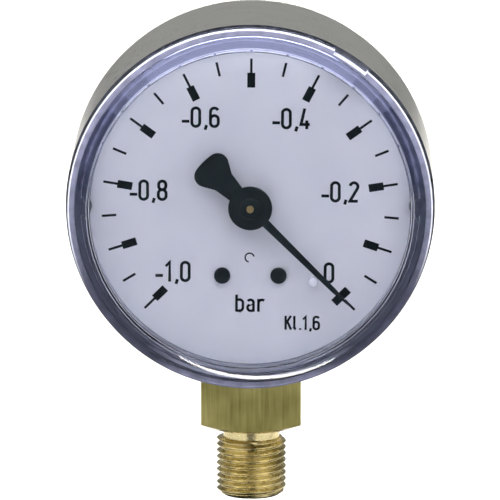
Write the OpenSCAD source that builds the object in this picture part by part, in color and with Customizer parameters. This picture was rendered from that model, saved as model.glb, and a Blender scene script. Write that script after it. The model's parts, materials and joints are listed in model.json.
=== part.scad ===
// Vacuum gauge with a 50 mm case and a bottom connection.
// Millimetres, +Z up, and the dial faces -Y.
// The origin is the middle of the sealing face at the lower end of the stem.

/* [Case] */
// Outside diameter of the case
case_d = 51; // [49:0.5:56]
// Depth of the case from its back to its front edge
case_depth = 24; // [23:0.5:27]
// Thickness of the case's sheet
case_wall = 0.75; // [0.6:0.05:1]
// Outside radius between the case's wall and its back
case_corner_r = 2; // [1.2:0.1:3]
// Distance from the stem's axis to the outside of the case's back
stem_to_back = 10; // [9.5:0.25:12]

/* [Window] */
// Step of the window's flange inside the case's outside diameter
flange_inset = 0.3; // [0.1:0.05:0.5]
// Thickness of the window's flange in front of the case's edge
flange_t = 2.2; // [1.8:0.1:2.8]
// Width of the narrow land around the window's shoulder
land_w = 0.6; // [0.4:0.05:1]
// Height of the small step between the land and the shoulder
land_step = 0.15; // [0.1:0.05:0.3]
// Height of the window's face in front of the case's edge
window_rise = 3.9; // [3.5:0.1:5]
// Diameter of the window's flat face
window_face_d = 45; // [40:0.5:46]
// Thickness of the window's pane
pane_t = 1.6; // [1:0.1:1.7]
// Thickness of the window's skirt
skirt_t = 2.35; // [1.2:0.05:2.6]
// Depth of the window's skirt inside the case
skirt_depth = 1.2; // [1:0.1:1.4]
// Radius of the snap bead around the skirt
bead_r = 0.3; // [0.2:0.05:0.35]
// Depth of the pry notch in the flange
notch_depth = 0.7; // [0.4:0.05:0.9]
// Angle of the pry notch's middle, from the right-hand side
notch_middle = 56.2; // [30:0.2:80]
// Angle covered by the pry notch
notch_angle = 12.4; // [6:0.2:20]
// Length of each inner lug of the window
lug_l = 3; // [1:0.1:4]
// Height of each inner lug above the skirt's inside
lug_h = 0.4; // [0.3:0.1:0.8]

/* [Dial and pointer] */
// Height of the pointer's axis above the sealing face
centre_h = 43.6; // [42:0.1:48]
// Depth of the dial's face behind the case's front edge
dial_recess = 1.6; // [1.55:0.05:1.8]
// Thickness of the dial
dial_t = 0.6; // [0.4:0.1:0.8]
// Radius of the hole in the dial for the pointer's shaft
dial_hole_r = 1.6; // [1.2:0.1:2]
// Sideways distance of each dial screw from the middle
dial_screw_x = 3.9; // [3.7:0.1:4.1]
// Distance of the dial screws below the pointer's axis
dial_screw_drop = 9.8; // [9.6:0.1:10.2]
// Radius of a dial screw's head
dial_screw_head_r = 1.125; // [1:0.025:1.2]
// Height of a dial screw's head
dial_screw_head_h = 0.7; // [0.5:0.1:0.8]
// Radius of a dial screw's shank
dial_screw_r = 0.5; // [0.4:0.05:0.55]
// Angle of the pointer at rest, from the right-hand side
rest_angle = -45; // [-50:1:-40]
// Gap between the dial and the pointer's blade
pointer_lift = 1.8; // [1.6:0.1:2]
// Thickness of the pointer's blade
blade_t = 0.3; // [0.2:0.05:0.5]
// Length of the pointer from its axis to its point
pointer_l = 19.6; // [18:0.1:21]
// Distance from the axis to where the pointer's point begins
point_start = 16.5; // [15:0.1:17]
// Width of the pointer's arm at the hub
arm_w = 1.25; // [1:0.05:1.5]
// Width of the pointer's arm where the point begins
arm_tip_w = 0.65; // [0.5:0.05:0.9]
// Radius of the pointer's hub disc
hub_r = 3.04; // [2.6:0.02:3.4]
// Thickness of the pointer's hub disc
hub_t = 0.6; // [0.5:0.05:0.7]
// Radius of the collar on the hub disc
collar_r = 1.5; // [1.2:0.1:2]
// Height of the collar above the hub disc
collar_h = 0.3; // [0.2:0.05:0.4]
// Outer radius of the pointer's counterweight
tail_r = 9.15; // [8:0.05:10]
// Half angle of the counterweight
tail_half_angle = 20.5; // [18:0.5:23]
// Radius of the counterweight's corners
tail_corner_r = 1.5; // [1.2:0.1:1.8]
// Distance of the stop pin from the pointer's axis
stop_r = 13.6; // [12:0.1:15]
// Radius of the stop pin
stop_pin_r = 0.65; // [0.5:0.05:0.8]
// Height of the stop pin above the dial
stop_pin_h = 2.2; // [2.1:0.05:2.4]
// Gap between the stop pin and the pointer at rest
stop_gap = 0.2; // [0.1:0.05:0.3]

/* [Stem] */
// Width of the stem's square bar
bar_w = 14; // [13.5:0.5:15]
// Length of the threaded end below the square
thread_l = 9.9; // [9:0.1:12]
// Outside diameter of the thread
thread_d = 9.728; // [9.5:0.001:9.8]
// Pitch of the thread
thread_pitch = 0.907; // [0.8:0.001:1]
// Depth of the thread
thread_depth = 0.581; // [0.5:0.001:0.65]
// Length of the neck between the thread and the square
neck_l = 1.45; // [0.8:0.05:1.5]
// Radius of the neck
neck_r = 3.9; // [3.5:0.05:4.1]
// Radius of the sealing face at the stem's end
end_r = 3.9; // [3.2:0.05:4]
// Length of the chamfer at the stem's end
end_chamfer = 0.4; // [0.2:0.05:0.8]
// Radius of the inlet bore
inlet_r = 1.5; // [1:0.1:1.8]
// Radius where the turned chamfer under the square begins
square_chamfer_r = 6.3; // [6:0.1:6.9]
// Height of the turned chamfer at a corner of the square
square_chamfer_h = 1.45; // [0.8:0.05:1.8]
// Distance from the pointer's axis down to the full bar's top
bar_drop = 16.2; // [16:0.1:16.3]
// Distance from the pointer's axis down to the tongue's top
tongue_drop = 9.5; // [8:0.1:10]

/* [Movement] */
// Thickness of each movement plate
plate_t = 1; // [0.8:0.1:1.2]
// Space between the two movement plates
plate_gap = 6.5; // [6.2:0.1:6.8]
// Height of the posts between the front plate and the dial
post_h = 2.3; // [2:0.1:2.5]
// Radius of a dial post
post_r = 1.1; // [0.9:0.05:1.2]
// Radius of a pillar between the plates
pillar_r = 1.3; // [1.1:0.05:1.4]
// Gear module
gear_module = 0.2; // [0.19:0.005:0.21]
// Teeth on the pinion
pinion_teeth = 12; // [12]
// Teeth on a full wheel of the sector's size
sector_teeth = 90; // [90]
// Thickness of the sector gear
sector_t = 0.8; // [0.6:0.1:1]
// Radius of the pointer's shaft between the plates
shaft_r = 0.75; // [0.7:0.05:0.85]
// Radius of the pivots in the plates and of the shaft's front end
pivot_r = 0.5; // [0.4:0.05:0.55]
// Height of the shaft's front end above the dial
shaft_front = 3.1; // [2.9:0.1:3.3]
// Radius of the sector's arbor between the plates
arbor_r = 0.9; // [0.8:0.05:1.1]
// Length of the sector's tail
sector_tail_l = 4.5; // [4.3:0.1:4.7]
// Length of the link between its two eyes
link_l = 7.4; // [7:0.1:7.8]
// Thickness of the link
link_t = 0.8; // [0.6:0.1:0.9]
// Radius of the two link pins
link_pin_r = 0.5; // [0.45:0.05:0.55]
// Radius of the heads on the link pins
link_pin_head_r = 0.9; // [0.8:0.05:1]
// Outer radius of the hairspring
hairspring_r = 4.6; // [4:0.1:5]
// Number of turns in the hairspring
hairspring_turns = 5; // [3:1:6]
// Thickness of the hairspring's strip
hairspring_t = 0.12; // [0.1:0.01:0.15]
// Width of the hairspring's strip
hairspring_w = 0.6; // [0.4:0.1:0.8]

/* [Bourdon tube] */
// Mean radius of the tube's bend
tube_r = 19.5; // [19.2:0.1:19.8]
// Thickness of the tube along the radius
tube_t = 2.6; // [2.2:0.1:2.8]
// Width of the tube along the pointer's axis
tube_w = 8; // [7:0.1:8.2]
// Wall of the tube
tube_wall = 0.35; // [0.25:0.05:0.5]
// Angle of the tube's closed end, from the right-hand side
tube_end_angle = 5; // [3:0.5:7]
// Angle of the tube's open end inside the stem
tube_root_angle = 262.3; // [261:0.1:263]

/* [Screws] */
// Radius of a plate screw's head
plate_screw_head_r = 1.2; // [1:0.05:1.3]
// Height of a plate screw's head
plate_screw_head_h = 0.9; // [0.6:0.1:1]
// Radius of a plate screw's shank
plate_screw_r = 0.6; // [0.5:0.05:0.7]
// Radius of a movement screw's head
movement_screw_head_r = 1.5; // [1.3:0.05:1.55]
// Height of a movement screw's head
movement_screw_head_h = 1.1; // [0.8:0.1:1.2]
// Radius of a movement screw's shank
movement_screw_r = 0.9; // [0.7:0.05:1]
// Sideways distance of each movement screw from the middle
movement_screw_x = 4.2; // [4:0.1:4.6]
// Distance of the movement screws below the pointer's axis
movement_screw_drop = 14.2; // [14:0.1:14.3]
// Radius of a case screw's head
case_screw_head_r = 2.2; // [1.8:0.05:2.3]
// Height of a case screw's head
case_screw_head_h = 1.4; // [1:0.1:1.5]
// Radius of a case screw's shank
case_screw_r = 1; // [0.8:0.05:1.2]
// Length of a case screw's shank inside the stem
case_screw_l = 2.5; // [2:0.1:2.8]
// Sideways distance of each case screw from the middle
case_screw_x = 3.6; // [3.4:0.05:3.8]
// Distance of the case screws below the pointer's axis
case_screw_drop = 19.6; // [19:0.1:20]
// Radius of the recess around a case screw
recess_r = 2.5; // [2.4:0.05:2.7]

/* [Clearances] */
// Gap all round the stem in the case's hole
stem_fit = 0.15; // [0.05:0.05:0.3]
// Gap between the window's skirt and the case
window_fit = 0.1; // [0.05:0.05:0.2]
// Gap between the snap bead and its groove
bead_fit = 0.05; // [0.02:0.01:0.08]
// Gap between the dial's edge and the case
dial_gap = 0.35; // [0.2:0.05:0.5]
// Radial gap of a running pivot
running_fit = 0.05; // [0.02:0.01:0.08]
// Radial gap of a fixed pin, screw or soldered joint
fixed_fit = 0.01; // [0.005:0.005:0.02]
// Radial gap of the tip pin in the link, which takes up the linkage's error
link_fit = 0.2; // [0.16:0.01:0.24]
// Gap along an axis between pieces that turn on each other
end_play = 0.12; // [0.1:0.01:0.15]
// Amount taken off the thickness of each gear tooth
tooth_play = 0.03; // [0.02:0.005:0.05]

/* [Hidden] */
$fn = 96;

// Extra length of every cut, so that it passes right through a face
through = 1;

// Radii that follow from the case
case_r = case_d / 2;
case_in_r = case_r - case_wall;
flange_r = case_r - flange_inset;
skirt_r = case_in_r - window_fit;
skirt_in_r = skirt_r - skirt_t;
land_r = flange_r - land_w;
bead_mid_r = skirt_r - bead_r / 3;
dial_r = case_in_r - dial_gap;

// Distances in front of the stem's axis
back_w = -stem_to_back;
front_w = back_w + case_depth;
dial_w = front_w - dial_recess;
dial_back_w = dial_w - dial_t;
face_w = front_w + window_rise;
skirt_w = front_w - skirt_depth;
bead_w = front_w - 2 * skirt_depth / 3;
front_plate_w = dial_back_w - post_h - plate_t;
rear_plate_w = front_plate_w - plate_gap - plate_t;
between_w = rear_plate_w + plate_t;
sector_w = between_w + 0.4 * plate_gap;
link_w = sector_w - end_play - link_t;
tab_t = 1.2;
tab_w = link_w - end_play - tab_t;
pin_head_t = 0.5;
link_edge = 0.3;
strap_edge = 0.5;
strap_w = 2 * (link_pin_r + strap_edge);
pinion_over = 0.4;
spring_gap = 1;
spring_w = sector_w + sector_t + spring_gap;
collet_over = 0.2;
blade_w = dial_w + pointer_lift;
bush_l = 1;
shaft_end_w = dial_w + shaft_front;

// Gear and linkage geometry, seen from the front with the pointer's axis in the middle
pressure_angle = 20;
sector_direction = -40;
tail_direction = 13;
link_direction = 96;
pinion_pitch_r = gear_module * pinion_teeth / 2;
sector_pitch_r = gear_module * sector_teeth / 2;
pinion_tip_r = pinion_pitch_r + gear_module;
pinion_root_r = pinion_pitch_r - 0.9 * gear_module;
sector_tip_r = sector_pitch_r + 0.65 * gear_module;
sector_root_r = sector_pitch_r - 1.25 * gear_module;
sector_pos = (pinion_pitch_r + sector_pitch_r) * [cos(sector_direction), sin(sector_direction)];
tail_pos = sector_pos + sector_tail_l * [cos(tail_direction), sin(tail_direction)];
tip_pos = tail_pos + link_l * [cos(link_direction), sin(link_direction)];
first_tooth = -3;
last_tooth = 11;
sector_pitch_angle = 360 / sector_teeth;
sector_middle = sector_direction + 180;

// Places of the pillars, screws and studs, seen from the front
pillar_x = 6.8;
pillar_top = 5.2;
pillar_low = -12;
pillar_places = [for (x = [-pillar_x, pillar_x], y = [pillar_top, pillar_low]) [x, y]];
plate_edge = 2.6;
plate_room = 0.3;
dial_screw_places = [[-dial_screw_x, -dial_screw_drop], [dial_screw_x, -dial_screw_drop]];
movement_screw_places = [[-movement_screw_x, -movement_screw_drop], [movement_screw_x, -movement_screw_drop]];
case_screw_places = [[-case_screw_x, -case_screw_drop], [case_screw_x, -case_screw_drop]];
stud_angle = 150;
stud_r = 0.4;
collet_r = 1.35;
stud_place = polar(hairspring_r + hairspring_t / 2 + stud_r + fixed_fit, stud_angle);
post_spigot_r = post_r - 0.3;
pillar_spigot_r = pillar_r - 0.5;
plate_screw_l = 2.5;
movement_screw_l = 4;
eye_r = link_pin_r + 0.8;

// Place of the stop pin, just clear of the resting pointer's arm
arm_half_at_stop = (arm_w + (arm_tip_w - arm_w) * stop_r / point_start) / 2;
stop_offset = arm_half_at_stop + stop_pin_r + stop_gap;
stop_place = polar(norm([stop_r, stop_offset]), rest_angle - atan2(stop_offset, stop_r));

// Angle where the tube's slot starts, clear of the bar's side
slot_angle = 180 + acos(bar_w / 2 / (tube_r + tube_t)) - 12;

// Thread form
thread_r = thread_d / 2;
thread_root_r = thread_r - thread_depth;
flank_w = thread_depth * tan(27.5);
crest_w = (thread_pitch - 2 * flank_w) / 2;
thread_top = thread_l - neck_l;
thread_room = thread_top - end_chamfer - crest_w - 2 * flank_w;
thread_turns = floor(thread_room / thread_pitch);
first_crest = thread_top - crest_w / 2 - flank_w - thread_turns * thread_pitch;

// Colours
steel = "#b9bab5";
brass = "#b8964f";
bronze = "#b5763f";
black = "#17191a";
white = "#e6e6ee";
clear = [0.75, 0.8, 0.92, 0.35];

// Puts what is drawn as seen from the front onto the pointer's axis, its Z towards the viewer
module facing() {
    translate([0, 0, centre_h])
        rotate([90, 0, 0])
            children();
}

// A round bar along the pointer's axis between two distances from the stem's axis
module rod(place, from_w, to_w, r) {
    translate([place[0], place[1], from_w])
        cylinder(h = to_w - from_w, r = r);
}

// A round cut that passes through both ends of the same stretch
module hole(place, from_w, to_w, r) {
    rod(place, from_w - through, to_w + through, r);
}

// A flat shape along the pointer's axis between two distances from the stem's axis
module slab(from_w, to_w) {
    translate([0, 0, from_w])
        linear_extrude(to_w - from_w)
            children();
}

// A slotted screw whose head stands on seat_w and whose shank goes back from there
module front_screw(place, seat_w, head_r, head_h, shank_r, shank_l) {
    difference() {
        union() {
            rod(place, seat_w, seat_w + head_h, head_r);
            rod(place, seat_w - shank_l, seat_w, shank_r);
        }
        translate([place[0], place[1], seat_w + head_h])
            cube([2 * head_r + through, head_r / 4, head_h], center = true);
    }
}

// A rectangle with round corners, given by its opposite corners
module rounded_box(low, high, r) {
    size = high - low;
    translate(low + [r, 0])
        square(size - [2 * r, 0]);
    translate(low + [0, r])
        square(size - [0, 2 * r]);
    for (x = [low[0] + r, high[0] - r], y = [low[1] + r, high[1] - r])
        translate([x, y])
            circle(r);
}

// A straight strip between two points with a round eye at each
module strip(a, b, eye_a, eye_b, width) {
    step = b - a;
    translate(a)
        rotate(atan2(step[1], step[0]))
            translate([0, -width / 2])
                square([norm(step), width]);
    translate(a)
        circle(eye_a);
    translate(b)
        circle(eye_b);
}

// Involute gear teeth
function involute(angle) = tan(angle) * 180 / PI - angle;
function tooth_half(r, teeth) =
    let (pitch_r = gear_module * teeth / 2)
    let (base_r = pitch_r * cos(pressure_angle))
    let (at_r = r > base_r ? acos(base_r / r) : 0)
    90 / teeth - tooth_play / 2 / pitch_r * 180 / PI + involute(pressure_angle) - involute(at_r);
function polar(r, angle) = [r * cos(angle), r * sin(angle)];
function tooth(middle, teeth, root_r, tip_r, steps = 4) =
    let (flank_r = max(root_r, gear_module * teeth / 2 * cos(pressure_angle)))
    let (radii = [for (i = [0 : steps]) flank_r + (tip_r - flank_r) * i / steps])
    concat(
        [polar(root_r, middle - tooth_half(flank_r, teeth))],
        [for (i = [0 : steps]) polar(radii[i], middle - tooth_half(radii[i], teeth))],
        [for (i = [steps : -1 : 0]) polar(radii[i], middle + tooth_half(radii[i], teeth))],
        [polar(root_r, middle + tooth_half(flank_r, teeth))]
    );

// Outline of the case, in radius and distance
module cup_outline(r, bottom, corner, top) {
    translate([0, bottom])
        square([r - corner, top - bottom]);
    translate([0, bottom + corner])
        square([r, top - bottom - corner]);
    translate([r - corner, bottom + corner])
        circle(corner);
}

// Drawn steel case with a square hole for the stem and two recesses for its screws
module case() {
    color(steel) facing() difference() {
        union() {
            rotate_extrude()
                intersection() {
                    difference() {
                        cup_outline(case_r, back_w, case_corner_r, front_w);
                        cup_outline(case_in_r, back_w + case_wall, case_corner_r - case_wall,
                            front_w + through);
                        translate([bead_mid_r, bead_w])
                            circle(bead_r + bead_fit);
                    }
                    translate([0, back_w])
                        square([case_r, case_depth]);
                }
            for (place = case_screw_places)
                rod(place, back_w, -bar_w / 2, recess_r + case_wall);
        }
        translate([-bar_w / 2 - stem_fit, -case_r - through, -bar_w / 2 - stem_fit])
            cube([bar_w + 2 * stem_fit, case_r - bar_drop + through, bar_w + 2 * stem_fit]);
        for (place = case_screw_places) {
            rod(place, back_w - through, -bar_w / 2 - case_wall, recess_r);
            rod(place, back_w, -bar_w / 2 + through, case_screw_r + running_fit);
        }
    }
}

// Clear snap-in window with its flange, sloped shoulder and skirt
module window() {
    color(clear) facing() difference() {
        union() {
            rotate_extrude()
                difference() {
                    union() {
                        polygon([[0, skirt_w], [skirt_r, skirt_w], [skirt_r, front_w], [flange_r, front_w],
                            [flange_r, front_w + flange_t], [land_r, front_w + flange_t],
                            [land_r, front_w + flange_t + land_step], [window_face_d / 2, face_w],
                            [0, face_w]]);
                        translate([bead_mid_r, bead_w])
                            circle(bead_r);
                    }
                    translate([0, skirt_w - through])
                        square([skirt_in_r, face_w - pane_t - skirt_w + through]);
                }
            for (side = [-1, 1])
                translate([side * (skirt_in_r - lug_h / 2 + skirt_t / 4), 0, (skirt_w + front_w) / 2])
                    cube([lug_h + skirt_t / 2, lug_l, skirt_depth], center = true);
        }
        rotate([0, 0, notch_middle - notch_angle / 2])
            rotate_extrude(angle = notch_angle)
                translate([flange_r - notch_depth, front_w])
                    square([notch_depth + through, flange_t + through]);
    }
}

// White dial
module dial() {
    color(white) facing() difference() {
        rod([0, 0], dial_back_w, dial_w, dial_r);
        hole([0, 0], dial_back_w, dial_w, dial_hole_r);
        for (place = dial_screw_places)
            hole(place, dial_back_w, dial_w, dial_screw_r + running_fit);
        hole(stop_place, dial_back_w, dial_w, stop_pin_r + fixed_fit);
    }
}

// Two black screws that hold the dial to its posts
module dial_screws() {
    color(black) facing()
        for (place = dial_screw_places)
            front_screw(place, dial_w, dial_screw_head_r, dial_screw_head_h, dial_screw_r, dial_t + post_h);
}

// Two posts, riveted into the front plate, that carry the dial
module dial_posts() {
    color(brass) facing()
        for (place = dial_screw_places)
            difference() {
                union() {
                    rod(place, front_plate_w + plate_t, dial_back_w, post_r);
                    rod(place, front_plate_w, front_plate_w + plate_t, post_spigot_r);
                }
                rod(place, dial_back_w - post_h, dial_back_w + through, dial_screw_r + fixed_fit);
            }
}

// Pin on the dial that the pointer rests against at zero
module stop_pin() {
    color(white) facing()
        rod(stop_place, dial_back_w, dial_w + stop_pin_h, stop_pin_r);
}

// Points along an arc about a middle point
function arc(middle, r, from_angle, to_angle, steps) =
    [for (i = [0 : steps]) middle + polar(r, from_angle + (to_angle - from_angle) * i / steps)];

// Fan-shaped counterweight, drawn along +X
module counterweight_outline() {
    corner_mid_r = tail_r - tail_corner_r;
    corner_angle = tail_half_angle - asin(tail_corner_r / corner_mid_r);
    flare = 30;
    neck = [0.57 * tail_r, 0.175 * tail_r];
    polygon(concat(
        [[0, -neck[1] / 2], [neck[0], -neck[1]]],
        arc(polar(corner_mid_r, -corner_angle), tail_corner_r, -90 - flare, -corner_angle, 12),
        arc([0, 0], tail_r, -0.9 * corner_angle, 0.9 * corner_angle, 12),
        arc(polar(corner_mid_r, corner_angle), tail_corner_r, corner_angle, 90 + flare, 12),
        [neck, [0, neck[1] / 2]]
    ));
}

// Black pointer with its hub disc and counterweight
module pointer() {
    color(black) facing() rotate([0, 0, rest_angle]) difference() {
        union() {
            slab(blade_w, blade_w + blade_t) {
                polygon([[0, -arm_w / 2], [point_start, -arm_tip_w / 2], [pointer_l, 0],
                    [point_start, arm_tip_w / 2], [0, arm_w / 2]]);
                rotate(180)
                    counterweight_outline();
            }
            rod([0, 0], blade_w, blade_w + hub_t, hub_r);
            rod([0, 0], blade_w + hub_t, blade_w + hub_t + collar_h, collar_r);
        }
        hole([0, 0], blade_w, blade_w + hub_t + collar_h, pivot_r + fixed_fit);
    }
}

// Brass bush that holds the pointer on its shaft
module pointer_bush() {
    color(brass) facing() difference() {
        rod([0, 0], blade_w - bush_l, blade_w, collar_r);
        hole([0, 0], blade_w - bush_l, blade_w, pivot_r + fixed_fit);
    }
}

// Pointer shaft with the pinion cut on it
module pinion() {
    color(brass) facing() {
        rod([0, 0], rear_plate_w + end_play, shaft_end_w, pivot_r);
        rod([0, 0], between_w + end_play, blade_w - bush_l, shaft_r);
        slab(sector_w - pinion_over, sector_w + sector_t + pinion_over)
            polygon([for (i = [0 : pinion_teeth - 1])
                each tooth(sector_direction + i * 360 / pinion_teeth, pinion_teeth,
                    pinion_root_r, pinion_tip_r)]);
    }
}

// Toothed sector with its tail
module sector_gear() {
    hub = 2;
    rim = 1.2;
    start = sector_middle + (first_tooth + 0.5) * sector_pitch_angle;
    end = sector_middle + (last_tooth + 0.5) * sector_pitch_angle;
    spoke = 9;
    color(brass) facing() difference() {
        slab(sector_w, sector_w + sector_t) {
            translate(sector_pos)
                difference() {
                    union() {
                        polygon(concat([[0, 0]], [for (i = [first_tooth : last_tooth])
                            each tooth(sector_middle + (i + 0.5) * sector_pitch_angle, sector_teeth,
                                sector_root_r, sector_tip_r)]));
                        circle(hub);
                    }
                    intersection() {
                        difference() {
                            circle(sector_root_r - rim);
                            circle(hub);
                        }
                        polygon([[0, 0], polar(2 * sector_tip_r, start + spoke),
                            polar(2 * sector_tip_r, end - spoke)]);
                    }
                }
            strip(sector_pos, tail_pos, hub, eye_r, strap_w);
        }
        hole(sector_pos, sector_w, sector_w + sector_t, arbor_r + fixed_fit);
        hole(tail_pos, sector_w, sector_w + sector_t, link_pin_r + fixed_fit);
    }
}

// Arbor pressed into the sector, turning in both plates
module sector_arbor() {
    color(steel) facing() {
        rod(sector_pos, between_w + end_play, front_plate_w - end_play, arbor_r);
        rod(sector_pos, rear_plate_w + end_play, front_plate_w + plate_t - end_play, pivot_r);
    }
}

// Headed pin in the sector's tail that the link turns on
module sector_pin() {
    color(steel) facing() {
        rod(tail_pos, link_w - end_play - pin_head_t, sector_w + sector_t, link_pin_r);
        rod(tail_pos, link_w - end_play - pin_head_t, link_w - end_play, link_pin_head_r);
    }
}

// Flat spiral hairspring that takes up the gears' play
module hairspring() {
    steps = 24 * hairspring_turns;
    inner = collet_r + hairspring_t / 2 + fixed_fit;
    outer = hairspring_r;
    function turn(i) = stud_angle - 360 * hairspring_turns * (1 - i / steps);
    function reach(i) = inner + (outer - inner) * i / steps;
    color(bronze) facing()
        slab(spring_w, spring_w + hairspring_w)
            polygon(concat(
                [for (i = [0 : steps]) polar(reach(i) - hairspring_t / 2, turn(i))],
                [for (i = [steps : -1 : 0]) polar(reach(i) + hairspring_t / 2, turn(i))]
            ));
}

// Collet that holds the hairspring's inner end on the shaft
module hairspring_collet() {
    color(brass) facing() difference() {
        rod([0, 0], spring_w - collet_over, spring_w + hairspring_w + collet_over, collet_r);
        hole([0, 0], spring_w, spring_w + hairspring_w, shaft_r + fixed_fit);
    }
}

// Stud in the front plate that holds the hairspring's outer end
module hairspring_stud() {
    color(brass) facing()
        rod(stud_place, spring_w - collet_over, front_plate_w + plate_t, stud_r);
}

// Outline shared by both movement plates, down to the given lower edge
module plate_outline(lower_edge) {
    rounded_box([-pillar_x - plate_edge, lower_edge], [sector_pos[0] + plate_edge, pillar_top + plate_edge],
        plate_edge);
}

// Front movement plate
module front_plate() {
    color(brass) facing() difference() {
        slab(front_plate_w, front_plate_w + plate_t)
            plate_outline(pillar_low - plate_edge / 2);
        hole([0, 0], front_plate_w, front_plate_w + plate_t, shaft_r + running_fit);
        hole(sector_pos, front_plate_w, front_plate_w + plate_t, pivot_r + running_fit);
        hole(stud_place, front_plate_w, front_plate_w + plate_t, stud_r + fixed_fit);
        for (place = dial_screw_places)
            hole(place, front_plate_w, front_plate_w + plate_t, post_spigot_r + fixed_fit);
        for (place = pillar_places)
            hole(place, front_plate_w, front_plate_w + plate_t, plate_screw_r + running_fit);
    }
}

// Rear movement plate, which sits on the stem's tongue
module rear_plate() {
    color(brass) facing() difference() {
        slab(rear_plate_w, between_w)
            plate_outline(-bar_drop + plate_room);
        hole([0, 0], rear_plate_w, between_w, pivot_r + running_fit);
        hole(sector_pos, rear_plate_w, between_w, pivot_r + running_fit);
        for (place = pillar_places)
            hole(place, rear_plate_w, between_w, pillar_spigot_r + fixed_fit);
        for (place = movement_screw_places)
            hole(place, rear_plate_w, between_w, movement_screw_r + running_fit);
    }
}

// Four pillars between the plates
module plate_pillars() {
    color(brass) facing()
        for (place = pillar_places)
            difference() {
                union() {
                    rod(place, between_w, front_plate_w, pillar_r);
                    rod(place, rear_plate_w, between_w, pillar_spigot_r);
                }
                rod(place, front_plate_w - plate_screw_l, front_plate_w + through, plate_screw_r + fixed_fit);
            }
}

// Four screws that hold the front plate on the pillars
module plate_screws() {
    color(steel) facing()
        for (place = pillar_places)
            front_screw(place, front_plate_w + plate_t, plate_screw_head_r, plate_screw_head_h, plate_screw_r,
                plate_t + plate_screw_l);
}

// Two screws that hold the movement on the stem's tongue
module movement_screws() {
    color(steel) facing()
        for (place = movement_screw_places)
            front_screw(place, between_w, movement_screw_head_r, movement_screw_head_h, movement_screw_r,
                plate_t + movement_screw_l);
}

// Oval section of the tube, in radius and distance
module tube_section(grow) {
    half_t = tube_t / 2 + grow;
    half_w = tube_w / 2 + grow;
    translate([tube_r, 0]) {
        square([2 * half_t, 2 * (half_w - half_t)], center = true);
        for (side = [-1, 1])
            translate([0, side * (half_w - half_t)])
                circle(half_t);
    }
}

// The tube's section swept between two angles
module tube_sweep(from_angle, to_angle, grow) {
    rotate([0, 0, from_angle])
        rotate_extrude(angle = to_angle - from_angle)
            tube_section(grow);
}

// Oval tube that curls tighter as the pressure falls
module bourdon_tube() {
    color(bronze) facing()
        rotate([0, 0, tube_end_angle])
            rotate_extrude(angle = tube_root_angle - tube_end_angle)
                difference() {
                    tube_section(0);
                    tube_section(-tube_wall);
                }
}

// Plug on the tube's closed end, with a tab that carries the tip pin
module tube_tip() {
    cap = 6;
    edge = 0.6;
    color(brass) facing() difference() {
        union() {
            rotate([0, 0, tube_end_angle - cap])
                rotate_extrude(angle = 2 * cap)
                    translate([tube_r - tube_t / 2 - edge, -tube_w / 2 - edge])
                        square([tube_t + 2 * edge, tube_w + 2 * edge]);
            slab(tab_w, tab_w + tab_t)
                strip(tip_pos, polar(tube_r, tube_end_angle - cap / 2), eye_r, link_pin_r, strap_w);
        }
        tube_sweep(tube_end_angle, tube_end_angle + 2 * cap, fixed_fit);
        hole(tip_pos, tab_w, tab_w + tab_t, link_pin_r + fixed_fit);
    }
}

// Headed pin on the tube's tip that pulls the link
module tip_pin() {
    color(steel) facing() {
        rod(tip_pos, tab_w, link_w + link_t + end_play + pin_head_t, link_pin_r);
        rod(tip_pos, link_w + link_t + end_play, link_w + link_t + end_play + pin_head_t, link_pin_head_r);
    }
}

// Link between the tube's tip and the sector's tail
module link() {
    color(brass) facing() difference() {
        slab(link_w, link_w + link_t)
            strip(tail_pos, tip_pos, eye_r, eye_r, 2 * (link_pin_r + link_edge));
        hole(tail_pos, link_w, link_w + link_t, link_pin_r + running_fit);
        hole(tip_pos, link_w, link_w + link_t, link_pin_r + link_fit);
    }
}

// Half outline of the threaded end, in radius and height
function thread_outline() = concat(
    [[0, 0], [end_r, 0], [thread_root_r, end_chamfer]],
    [for (i = [0 : thread_turns])
        let (z = first_crest + i * thread_pitch)
        each [[thread_root_r, z - crest_w / 2 - flank_w], [thread_r, z - crest_w / 2],
            [thread_r, z + crest_w / 2], [thread_root_r, z + crest_w / 2 + flank_w]]],
    [[neck_r, thread_top + flank_w / 2], [neck_r, thread_l], [0, thread_l]]
);

// Brass stem: threaded end, square bar and the tongue that carries the movement
module stem() {
    bar_top = centre_h - bar_drop;
    tongue_top = centre_h - tongue_drop;
    square_slope = (bar_w / sqrt(2) + 0.2 - square_chamfer_r) / square_chamfer_h;
    color(brass) difference() {
        union() {
            rotate_extrude()
                polygon(thread_outline());
            intersection() {
                translate([-bar_w / 2, -bar_w / 2, thread_l])
                    cube([bar_w, bar_w, bar_top - thread_l]);
                union() {
                    translate([0, 0, thread_l])
                        cylinder(h = square_chamfer_h, r1 = square_chamfer_r,
                            r2 = square_chamfer_r + square_slope * square_chamfer_h);
                    translate([0, 0, thread_l + square_chamfer_h])
                        cylinder(h = bar_top - thread_l, r = bar_w);
                }
            }
            translate([-bar_w / 2, -rear_plate_w, thread_l + square_chamfer_h])
                cube([bar_w, bar_w / 2 + rear_plate_w, tongue_top - thread_l - square_chamfer_h]);
        }
        translate([0, 0, -through])
            cylinder(h = centre_h - tube_r + through, r = inlet_r);
        facing() {
            tube_sweep(slot_angle, tube_root_angle, fixed_fit);
            tube_sweep(tube_root_angle, 270, -tube_wall);
            for (place = movement_screw_places)
                rod(place, rear_plate_w - movement_screw_l, rear_plate_w + through,
                    movement_screw_r + fixed_fit);
            for (place = case_screw_places)
                rod(place, -bar_w / 2 - through, -bar_w / 2 + case_screw_l, case_screw_r + fixed_fit);
        }
    }
}

// Two screws from the back that hold the stem in the case
module case_screws() {
    color(steel) facing()
        for (place = case_screw_places)
            mirror([0, 0, 1])
                front_screw(place, bar_w / 2 + case_wall, case_screw_head_r, case_screw_head_h, case_screw_r,
                    case_wall + case_screw_l);
}

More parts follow.
